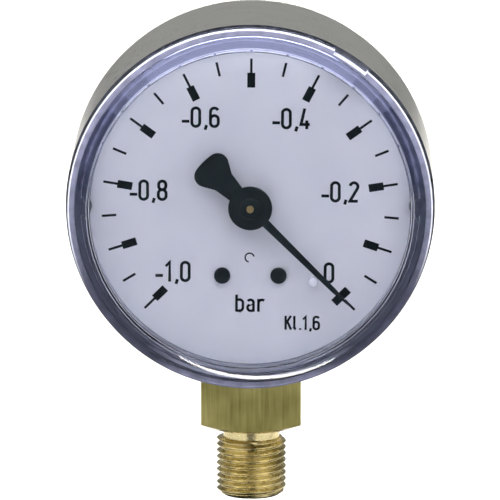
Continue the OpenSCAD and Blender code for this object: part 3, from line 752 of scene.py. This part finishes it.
def makeLettering():
    s = lettering
    points, faces = [], []
    for text, x, y in s["figures"]:
        writeLine(points, faces, text, x, y, s["figureHeight"], s["figureStroke"])
    for text, x, y, height, stroke in (s["unit"], s["accuracy"]):
        writeLine(points, faces, text, x, y, height, stroke)
    piece = newPiece("dialFigures", points, faces, [printFinish])
    settle(piece, "gauge", "black")
    mark = s["ring"]
    outline = arc(mark["place"], mark["radius"] + mark["stroke"] / 2, mark["start"], mark["end"], 32)
    outline += arc(mark["place"], mark["radius"] - mark["stroke"] / 2, mark["end"], mark["start"], 32)
    low, high = dialFace - dialShape["letterSink"], dialFace + dialShape["printHeight"]
    piece = newPiece("dialRing", *slab(outline, low, high, facing), [printFinish])
    settle(piece, "gauge", "black")


makeDial()
makeScale()
makeLettering()
print("dial and print done")


# Screws: one turned shape, put in a row by nodes

def rowTree():
    tree, given, result = newTree("screwRow", [
        ("Screw", "NodeSocketObject"), ("Count", "NodeSocketInt"), ("First", "NodeSocketVector"),
        ("Step", "NodeSocketVector"), ("Finish", "NodeSocketMaterial"),
    ])
    index = addNode(tree, "GeometryNodeInputIndex").outputs[0]
    along = addNode(tree, "ShaderNodeVectorMath", {0: given["Step"]}, operation="SCALE")
    tree.links.new(index, along.inputs["Scale"])
    spot = addNode(tree, "ShaderNodeVectorMath",
                   {0: given["First"], 1: along.outputs[0]}, operation="ADD").outputs[0]
    spots = addNode(tree, "GeometryNodePoints", {"Count": given["Count"], "Position": spot}).outputs[0]
    screw = addNode(tree, "GeometryNodeObjectInfo", {"Object": given["Screw"]}).outputs["Geometry"]
    screws = addNode(tree, "GeometryNodeInstanceOnPoints", {"Points": spots, "Instance": screw}).outputs[0]
    closeTree(tree, screws, given["Finish"], result)
    return tree


screwShape = {
    "crownShare": 0.86, "crownSteps": 6, "bevel": 0.12, "bevelRound": 0.08, "seatRound": 0.04,
    "turnSteps": 48,
}


def turnedScrew(name, s, towards):
    def place(x, y, w):
        return Vector((x, -w * towards, y)) * mm
    every = screwShape
    seat, radius, crown = s["seat"], s["headRadius"], s["crown"]
    head = s["headHeight"]
    crownRadius = radius * every["crownShare"]
    profile = [(0, seat + head)]
    for i in range(1, every["crownSteps"] + 1):
        share = i / every["crownSteps"]
        profile.append((crownRadius * share, seat + head - crown * share * share))
    profile += softened([
        (crownRadius, seat + head - crown, 0),
        (radius, seat + head - crown - every["bevel"], every["bevelRound"]),
        (radius, seat, every["seatRound"]),
        (s["shankRadius"], seat, 0),
        (s["shankRadius"], seat - s["shankLength"], 0),
        (0, seat - s["shankLength"], 0),
    ], 3)[1:]
    piece = newPiece(name, *spun(profile, every["turnSteps"], place), [])
    for across in s["slots"]:
        long, wide = s["slotLength"] / 2, s["slotWidth"] / 2
        x, y = (long, wide) if across else (wide, long)
        outline = [(-x, -y), (x, -y), (x, y), (-x, y)]
        cutLow = seat + head - s["slotDepth"]
        combine(piece, newPiece("slot", *slab(outline, cutLow, seat + head + 1, place), []), "DIFFERENCE")
    smooth(piece, 35)
    return piece


dialScrew = {
    "seat": dialFace, "headHeight": 0.7, "headRadius": 1.125, "crown": 0.1, "shankRadius": 0.5,
    "shankLength": dialFace - backOf("dial_screws"), "slots": (),
}
caseScrew = {
    "seat": -caseShape["recessFloor"], "headHeight": 1.4, "headRadius": caseScrewHead, "crown": 0.35,
    "shankRadius": 1.0, "shankLength": frontOf("case_screws") - caseShape["recessFloor"],
    "slots": (True, False),
    "slotLength": 2.6, "slotWidth": 0.55, "slotDepth": 0.95,
}


def makeScrews():
    tree = rowTree()
    low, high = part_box("dial_screws")
    dialY = (low.z + high.z) / 2 / mm
    dialX = halfWidth("dial_screws") - dialScrew["headRadius"]
    rows = [
        ("dialScrews", dialScrew, 1, dialX, dialY, "black", "dial_screws"),
        ("caseScrews", caseScrew, -1, caseScrewX, caseScrewY + axisHeight, "screw_steel", "case_screws"),
    ]
    for name, shape, towards, x, z, slot, node in rows:
        screw = turnedScrew(name + "One", shape, towards)
        piece = grown(name, tree, {
            "Screw": screw, "Count": 2, "First": Vector((-x, 0, z)) * mm, "Step": Vector((2 * x, 0, 0)) * mm,
            "Finish": finishes[slot],
        })
        bpy.data.objects.remove(screw)
        settle(piece, "gauge", slot, node)


makeScrews()

stopShape = {"radius": 0.65, "crown": 0.5, "footRound": 0.05, "turnSteps": 40}


def makeStop():
    low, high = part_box("stop_pin")
    x, y = (low.x + high.x) / 2 / mm, (low.z + high.z) / 2 / mm - axisHeight
    s = stopShape
    radius = s["radius"]
    top, rear = frontOf("stop_pin"), backOf("stop_pin")
    profile = softened([
        (0, top, 0),
        (radius, top, s["crown"]),
        (radius, rear, s["footRound"]),
        (0, rear, 0),
    ], 6)

    def place(px, py, w):
        return facing(x + px, y + py, w)
    piece = newPiece("stopPin", *spun(profile, s["turnSteps"], place), [pinFinish])
    smooth(piece, 40)
    settle(piece, "gauge", "dial_white", "stop_pin")


makeStop()
print("screws and stop done")


# Pointer: thin blade with a fan tail, on a hub disc with a raised collar

pointerShape = {
    "restAngle": -45.0,
    "bladeThickness": 0.3,
    "length": 19.6,
    "pointStart": 16.5,
    "armWidth": 1.25,
    "armTipWidth": 0.65,
    "pointWidth": 0.06,
    "hubRadius": 3.04,
    "hubThickness": 0.6,
    "hubRound": 0.14,
    "hubFoot": 0.05,
    "collarFoot": 0.06,
    "hubCut": 2.0,  # the blade is cut out here, and the hub fills the hole
    "collarRadius": 1.5,
    "boreRadius": 0.51,
    "tailRadius": 9.15,
    "tailHalfAngle": 20.5,
    "tailCorner": 1.5,
    "tailFlare": 30.0,
    "tailEndShare": 0.9,
    "neck": (5.2, 1.6),
    "edgeWidth": 0.04,
    "edgeAngle": 60.0,
    "turnSteps": 96,
}


def makePointer():
    s = pointerShape
    top = frontOf("pointer")
    rear = backOf("pointer")

    def place(x, y, w):
        turn = math.radians(s["restAngle"])
        c, k = math.cos(turn), math.sin(turn)
        return facing(x * c - y * k, x * k + y * c, w)
    cornerMiddle = s["tailRadius"] - s["tailCorner"]
    cornerAngle = s["tailHalfAngle"] - math.degrees(math.asin(s["tailCorner"] / cornerMiddle))
    neckX, neckY = s["neck"]
    tail = [(0.0, -neckY / 2), (neckX, -neckY)]
    tail += arc(polar(cornerMiddle, -cornerAngle), s["tailCorner"], -90 - s["tailFlare"], -cornerAngle, 12)
    endAngle = s["tailEndShare"] * cornerAngle
    tail += arc((0, 0), s["tailRadius"], -endAngle, endAngle, 12)
    tail += arc(polar(cornerMiddle, cornerAngle), s["tailCorner"], cornerAngle, 90 + s["tailFlare"], 12)
    tail += [(neckX, neckY), (0.0, neckY / 2)]
    arm, tip, point = s["armWidth"] / 2, s["armTipWidth"] / 2, s["pointWidth"] / 2
    outline = [(-x, -y) for x, y in tail]
    outline += [(0.0, -arm), (s["pointStart"], -tip), (s["length"], -point), (s["length"], point),
                (s["pointStart"], tip), (0.0, arm)]
    blade = slab(outline, rear, rear + s["bladeThickness"], place)
    piece = newPiece("pointerBlade", *blade, [finishes["black"]])
    disc = rear + s["hubThickness"]
    profile = softened([
        (s["boreRadius"], rear, 0),
        (s["hubRadius"], rear, s["hubFoot"]),
        (s["hubRadius"], disc, s["hubRound"]),
        (s["collarRadius"], disc, s["collarFoot"]),
        (s["collarRadius"], top, s["hubRound"]),
        (s["boreRadius"], top, s["hubFoot"]),
    ], 4)
    hub = newPiece("hub", *spun(profile, s["turnSteps"], place, True), [finishes["black"]])
    cut = arc((0, 0), s["hubCut"], 0, 354, 59)
    combine(piece, newPiece("bore", *slab(cut, rear - 1, top + 1, place), []), "DIFFERENCE")
    combine(piece, hub, "UNION")
    edge = piece.modifiers.new("edge", "BEVEL")
    edge.width = s["edgeWidth"] * mm
    edge.segments = 2
    edge.limit_method = "ANGLE"
    edge.angle_limit = math.radians(s["edgeAngle"])
    plainMesh(piece)
    smooth(piece, 35)
    settle(piece, "pointer_set", "black", "pointer")


makePointer()
print("pointer done")


# Stem: cut thread with its true helix, neck, square bar and the tongue inside the case

stemShape = {
    "endRadius": 3.9,
    "endSlope": 1.5,
    "rootRadius": 4.283,
    "crestRadius": 4.864,
    "pitch": 0.907,
    "flankAngle": 27.5,
    "crestSoft": 0.03,
    "lastCrest": 7.83,
    "threadTop": 8.3,
    "runOutSlope": 4.0,
    "neckRadius": 3.95,
    "neckFillet": 0.15,
    "threadLength": 9.9,
    "boreRadius": 1.5,
    "boreEdge": 0.12,
    "barWidth": 14.0,
    "barEdge": 0.12,
    "chamferRadius": 6.3,
    "chamferHeight": 1.45,
    "chamferReach": 3.8,
    "chamferEdge": (0.08, 0.03, 0.06),  # in from the bar, below and above the chamfer's edge
    "barDrop": 16.2,
    "boreTop": 23.7,
    "tongue": (-1.0, 6.999),  # a hair short of the bar's rear face
    "tongueSink": 2.0,
    "turnSteps": 144,
}


def upright(x, y, z):
    return Vector((x, y, z)) * mm


def threadForm(s):
    depth = s["crestRadius"] - s["rootRadius"]
    flank = depth * math.tan(math.radians(s["flankAngle"])) / s["pitch"]
    flat = (1 - 2 * flank) / 4
    return depth, flank, flat


def threadRadius(s, phase):
    depth, flank, flat = threadForm(s)
    away = min(phase, 1 - phase)  # phase 0 and 1 are the middle of a crest
    share = min(1.0, max(0.0, (away - flat) / flank))
    return s["crestRadius"] - depth * share


def squareRadius(half, edge, degrees):
    angle = math.radians(degrees)
    c, s = abs(math.cos(angle)), abs(math.sin(angle))
    flat = half / max(c, s)
    inner = half - edge  # middle of the round corner
    across = inner * (c + s)
    corner = across + math.sqrt(max(0.0, edge * edge - inner * inner * (c - s) ** 2))
    onCorner = min(c, s) * flat > inner
    return corner if onCorner else flat


def makeStem():
    s = stemShape
    barTop = axisHeight - s["barDrop"]
    depth, flank, flat = threadForm(s)
    soft = s["crestSoft"]
    phases = [0.0, flat - soft, flat + soft, flat + flank - soft, flat + flank + soft, 0.5]
    phases += [1 - p for p in reversed(phases[1:-1])]
    perTurn = len(phases)
    turns = int(s["threadTop"] / s["pitch"]) + 3
    steps = s["turnSteps"]
    firstCrest = s["lastCrest"] - s["pitch"] / 4 - (turns - 1) * s["pitch"]
    points, faces, slots = [], [], []
    rows = turns * perTurn
    for i in range(steps + 1):
        turnShare = i / steps
        for k in range(rows):
            phase = phases[k % perTurn]
            z = firstCrest + (k // perTurn + phase + turnShare) * s["pitch"]
            z = min(max(z, 0.0), s["threadTop"])
            runOut = s["neckRadius"] + (s["threadTop"] - z) * s["runOutSlope"]
            radius = min(threadRadius(s, phase), s["endRadius"] + z * s["endSlope"], runOut)
            if z == 0.0:
                radius = s["endRadius"]
            x, y = polar(radius, 360 * turnShare)
            points.append(upright(x, y, z))
    for i in range(steps):
        for k in range(rows - 1):
            a, b = i * rows + k, (i + 1) * rows + k
            faces.append((a, b, b + 1, a + 1))
            slots.append(1)
    rings = []  # bore and sealing face below, then neck, square and top above

    def addRing(radiusAt, heightAt):
        start = len(points)
        for i in range(steps):
            degrees = 360 * i / steps
            x, y = polar(radiusAt(degrees), degrees)
            points.append(upright(x, y, heightAt(degrees)))
        rings.append(start)

    def bar(degrees):
        return squareRadius(s["barWidth"] / 2, s["barEdge"], degrees)

    def cone(degrees):
        reach = bar(degrees) - s["chamferRadius"]
        return s["threadLength"] + reach * s["chamferHeight"] / s["chamferReach"]

    boreEdge, fillet = s["boreEdge"], s["neckFillet"]
    edgeIn, edgeBelow, edgeAbove = s["chamferEdge"]
    addRing(lambda d: 0.0, lambda d: s["boreTop"])
    addRing(lambda d: s["boreRadius"], lambda d: s["boreTop"])
    addRing(lambda d: s["boreRadius"], lambda d: boreEdge)
    addRing(lambda d: s["boreRadius"] + boreEdge, lambda d: 0.0)
    addRing(lambda d: s["endRadius"], lambda d: 0.0)
    lowRings = list(rings)
    rings.clear()
    addRing(lambda d: s["neckRadius"], lambda d: s["threadTop"])
    addRing(lambda d: s["neckRadius"], lambda d: s["threadLength"] - fillet)
    addRing(lambda d: s["neckRadius"] + fillet, lambda d: s["threadLength"])
    addRing(lambda d: s["chamferRadius"], lambda d: s["threadLength"])
    addRing(lambda d: bar(d) - edgeIn, lambda d: cone(d) - edgeBelow)
    addRing(bar, lambda d: cone(d) + edgeAbove)
    addRing(bar, lambda d: barTop)
    addRing(lambda d: 0.0, lambda d: barTop)
    highRings = list(rings)
    for group, ringSlots in ((lowRings, [1, 1, 1, 1]), (highRings, [2, 2, 2, 2, 2, 0, 0])):
        for low, high, slot in zip(group, group[1:], ringSlots):
            for i in range(steps):
                k = (i + 1) % steps
                faces.append((low + i, low + k, high + k, high + i))
                slots.append(slot)
    materials = [finishes["stem_brass"], threadFinish, neckFinish]
    piece = newPiece("stemBrass", points, faces, materials, slots)
    half = s["barWidth"] / 2
    near, far = s["tongue"]
    outline = [(-half, near), (half, near), (half, far), (-half, far)]
    block = slab(outline, barTop - s["tongueSink"], topOf("stem"), upright)
    combine(piece, newPiece("tongue", *block, [finishes["stem_brass"]]), "UNION")
    smooth(piece, 30)
    settle(piece, "gauge", "stem_brass", "stem")


makeStem()
print("stem done")


# Curved tube inside the case: an oval swept along an arc by nodes

tubeShape = {
    "radius": 19.5,
    "thickness": 2.6,
    "width": 8.0,
    "sideRound": 1.29,
    "tipAngle": 5.0,
    "rootAngle": 262.3,
    "steps": 180,
    "roundSteps": 8,
}


def tubeTree():
    tree, given, result = newTree("curvedTube", [
        ("Radius", "NodeSocketFloat"), ("Thickness", "NodeSocketFloat"), ("Width", "NodeSocketFloat"),
        ("Side Round", "NodeSocketFloat"), ("From", "NodeSocketFloat"), ("Sweep", "NodeSocketFloat"),
        ("Place", "NodeSocketVector"), ("Finish", "NodeSocketMaterial"),
    ])
    path = addNode(tree, "GeometryNodeCurveArc", {
        "Resolution": tubeShape["steps"], "Radius": given["Radius"],
        "Start Angle": given["From"], "Sweep Angle": given["Sweep"],
    }).outputs["Curve"]
    side = addNode(tree, "GeometryNodeCurvePrimitiveQuadrilateral", {
        "Width": given["Thickness"], "Height": given["Width"],
    }).outputs["Curve"]
    oval = addNode(tree, "GeometryNodeFilletCurve", {
        "Curve": side, "Count": tubeShape["roundSteps"], "Radius": given["Side Round"],
    }, mode="POLY").outputs[0]
    tube = addNode(tree, "GeometryNodeCurveToMesh", {
        "Curve": path, "Profile Curve": oval, "Fill Caps": True,
    }).outputs[0]
    placed = addNode(tree, "GeometryNodeTransform", {
        "Geometry": tube, "Translation": given["Place"], "Rotation": (math.pi / 2, 0, 0),
    }).outputs[0]
    closeTree(tree, placed, given["Finish"], result)
    return tree


def makeTube():
    s = tubeShape
    piece = grown("bourdonTube", tubeTree(), {
        "Radius": s["radius"] * mm, "Thickness": s["thickness"] * mm, "Width": s["width"] * mm,
        "Side Round": s["sideRound"] * mm, "From": math.radians(s["tipAngle"]),
        "Sweep": math.radians(s["rootAngle"] - s["tipAngle"]), "Place": facing(0, 0, 0),
        "Finish": finishes["bronze"],
    })
    smooth(piece, 40)
    tipX, tipY = polar(s["radius"], s["tipAngle"])
    facing(0, tipY, 0)
    facing(tipX, tipY, 0)
    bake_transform(piece)
    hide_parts("bourdon_tube")


makeTube()
print("tube done")


# Camera at the photograph's angle, and a soft studio

viewShape = {
    "target": (-0.000055, -0.0124, 0.03726),
    "distance": 0.975,
    "azimuth": 0.65,
    "elevation": 10.8,
    "lens": 506.9,
    "sensor": 36.0,
    "clipStart": 0.01,
}


def makeCamera():
    s = viewShape
    data = bpy.data.cameras.new("camera")
    data.lens = s["lens"]
    data.sensor_width = s["sensor"]
    data.clip_start = s["clipStart"]
    camera = bpy.data.objects.new("camera", data)
    bpy.context.scene.collection.objects.link(camera)
    az, el = math.radians(s["azimuth"]), math.radians(s["elevation"])
    away = Vector((math.sin(az) * math.cos(el), -math.cos(az) * math.cos(el), math.sin(el)))
    camera.location = Vector(s["target"]) + away * s["distance"]
    camera.rotation_euler = away.to_track_quat("Z", "Y").to_euler()
    bpy.context.scene.camera = camera


backLight = {"spread": 50.0, "color": (1.0, 0.975, 0.90)}
frontLight = {"spread": 160.0, "color": (0.96, 0.963, 1.0)}
studio = {
    "floorHeight": -0.06,
    "floorSize": 8.0,
    "floorColor": (0.66, 0.66, 0.66),
    "floorMottle": 0.97,
    "sky": [  # from the back to the front
        (0.12, (0.34, 0.34, 0.33)), (0.5, (0.20, 0.20, 0.205)), (0.85, (0.10, 0.10, 0.105)),
    ],
    "cardColor": (0.015, 0.015, 0.016, 1),
    "cards": {  # dark cards outside the view: in front where a camera stands, and under the stem
        "frontCard": {"halfWidth": 0.065, "y": (-0.22, -0.22), "z": (-0.06, 0.0416)},
        "lowerCard": {"halfWidth": 0.014, "y": (-0.014, 0.014), "z": (-0.006, -0.006)},
    },
    "lowStrip": {  # narrow bowed light below the view, mirrored in the lower part of the window's shoulder
        "middle": -0.0247, "height": -0.03, "halfWidth": 0.00026, "shift": 0.002, "halfLength": 0.033,
        "bow": 0.00246, "taper": 0.6, "steps": 24, "color": (1.0, 0.93, 0.62, 1), "strength": 26.0,
    },
    "lamps": {  # all hang above and shine straight down
        "backPanel": {"y": 0.62, "z": 0.75, "size": (2.2, 0.9), "power": 11.5, **backLight},
        "frontNarrow": {"y": -0.49, "z": 0.75, "size": (1.4, 0.5), "power": 6.7, **frontLight},
        "frontMiddle": {"y": -0.49, "z": 0.76, "size": (2.1, 0.5), "power": 10.0, **frontLight},
        "frontWide": {"y": -0.49, "z": 0.77, "size": (3.2, 0.5), "power": 15.3, **frontLight},
    },
}


def makeSky():
    bpy.context.scene.view_settings.view_transform = "Standard"
    world = bpy.data.worlds.new("studio")
    bpy.context.scene.world = world
    world.use_nodes = True
    tree = world.node_tree
    where = addNode(tree, "ShaderNodeTexCoord")
    split = addNode(tree, "ShaderNodeSeparateXYZ", {0: where.outputs["Generated"]})
    forward = addNode(tree, "ShaderNodeMapRange",
                      {"Value": split.outputs["Y"], "From Min": 1.0, "From Max": -1.0})
    sky = ramp(tree, forward.outputs[0], studio["sky"])
    tree.links.new(sky, tree.nodes["Background"].inputs["Color"])


def makeFloor():
    half = studio["floorSize"] / 2
    z = studio["floorHeight"]
    corners = [(-half, -half, z), (half, -half, z), (half, half, z), (-half, half, z)]
    material, tree, shader = newFinish("paleFloor", Roughness=0.9)
    cloud = grain(tree, (1, 1, 1), 6.0).outputs["Fac"]
    light = studio["floorColor"]
    dark = tuple(c * studio["floorMottle"] for c in light)
    tree.links.new(ramp(tree, cloud, [(0.3, dark), (0.7, light)]), shader.inputs["Base Color"])
    floor = newPiece("floor", corners, [(0, 1, 2, 3)], [material])


def makeCards():
    dark = newFinish("darkCard", Base_Color=studio["cardColor"], Roughness=0.9)[0]
    for name, size in studio["cards"].items():
        x, (y0, y1), (z0, z1) = size["halfWidth"], size["y"], size["z"]
        corners = [(-x, y0, z0), (x, y0, z0), (x, y1, z1), (-x, y1, z1)]
        card = newPiece(name, corners, [(0, 1, 2, 3)], [dark])
        card.visible_camera = False


def makeStrip():
    s = studio["lowStrip"]
    points = []
    for i in range(s["steps"] + 1):
        t = 2 * i / s["steps"] - 1
        x = s["shift"] + t * s["halfLength"]
        middle = s["middle"] - s["bow"] * t * t
        half = s["halfWidth"] * (1 - s["taper"] * t * t)
        points += [(x, middle + side * half, s["height"]) for side in (-1, 1)]
    faces = [(2 * i, 2 * i + 2, 2 * i + 3, 2 * i + 1) for i in range(s["steps"])]
    glow = newFinish("glowStrip", Emission_Color=s["color"], Emission_Strength=s["strength"])[0]
    piece = newPiece("lowStrip", points, faces, [glow])
    piece.visible_camera = False


def makeLamps():
    for name, lamp in studio["lamps"].items():
        data = bpy.data.lights.new(name, "AREA")
        data.shape = "RECTANGLE"
        data.size, data.size_y = lamp["size"]
        data.energy = lamp["power"]
        data.color = lamp["color"]
        data.spread = math.radians(lamp["spread"])
        light = bpy.data.objects.new(name, data)
        light.location = (0.0, lamp["y"], lamp["z"])
        light.rotation_euler = Vector((0, 0, 1)).to_track_quat("Z", "Y").to_euler()
        light.visible_camera = False
        bpy.context.scene.collection.objects.link(light)


makeCamera()
makeSky()
makeFloor()
makeCards()
makeStrip()
makeLamps()
print("camera and studio done")
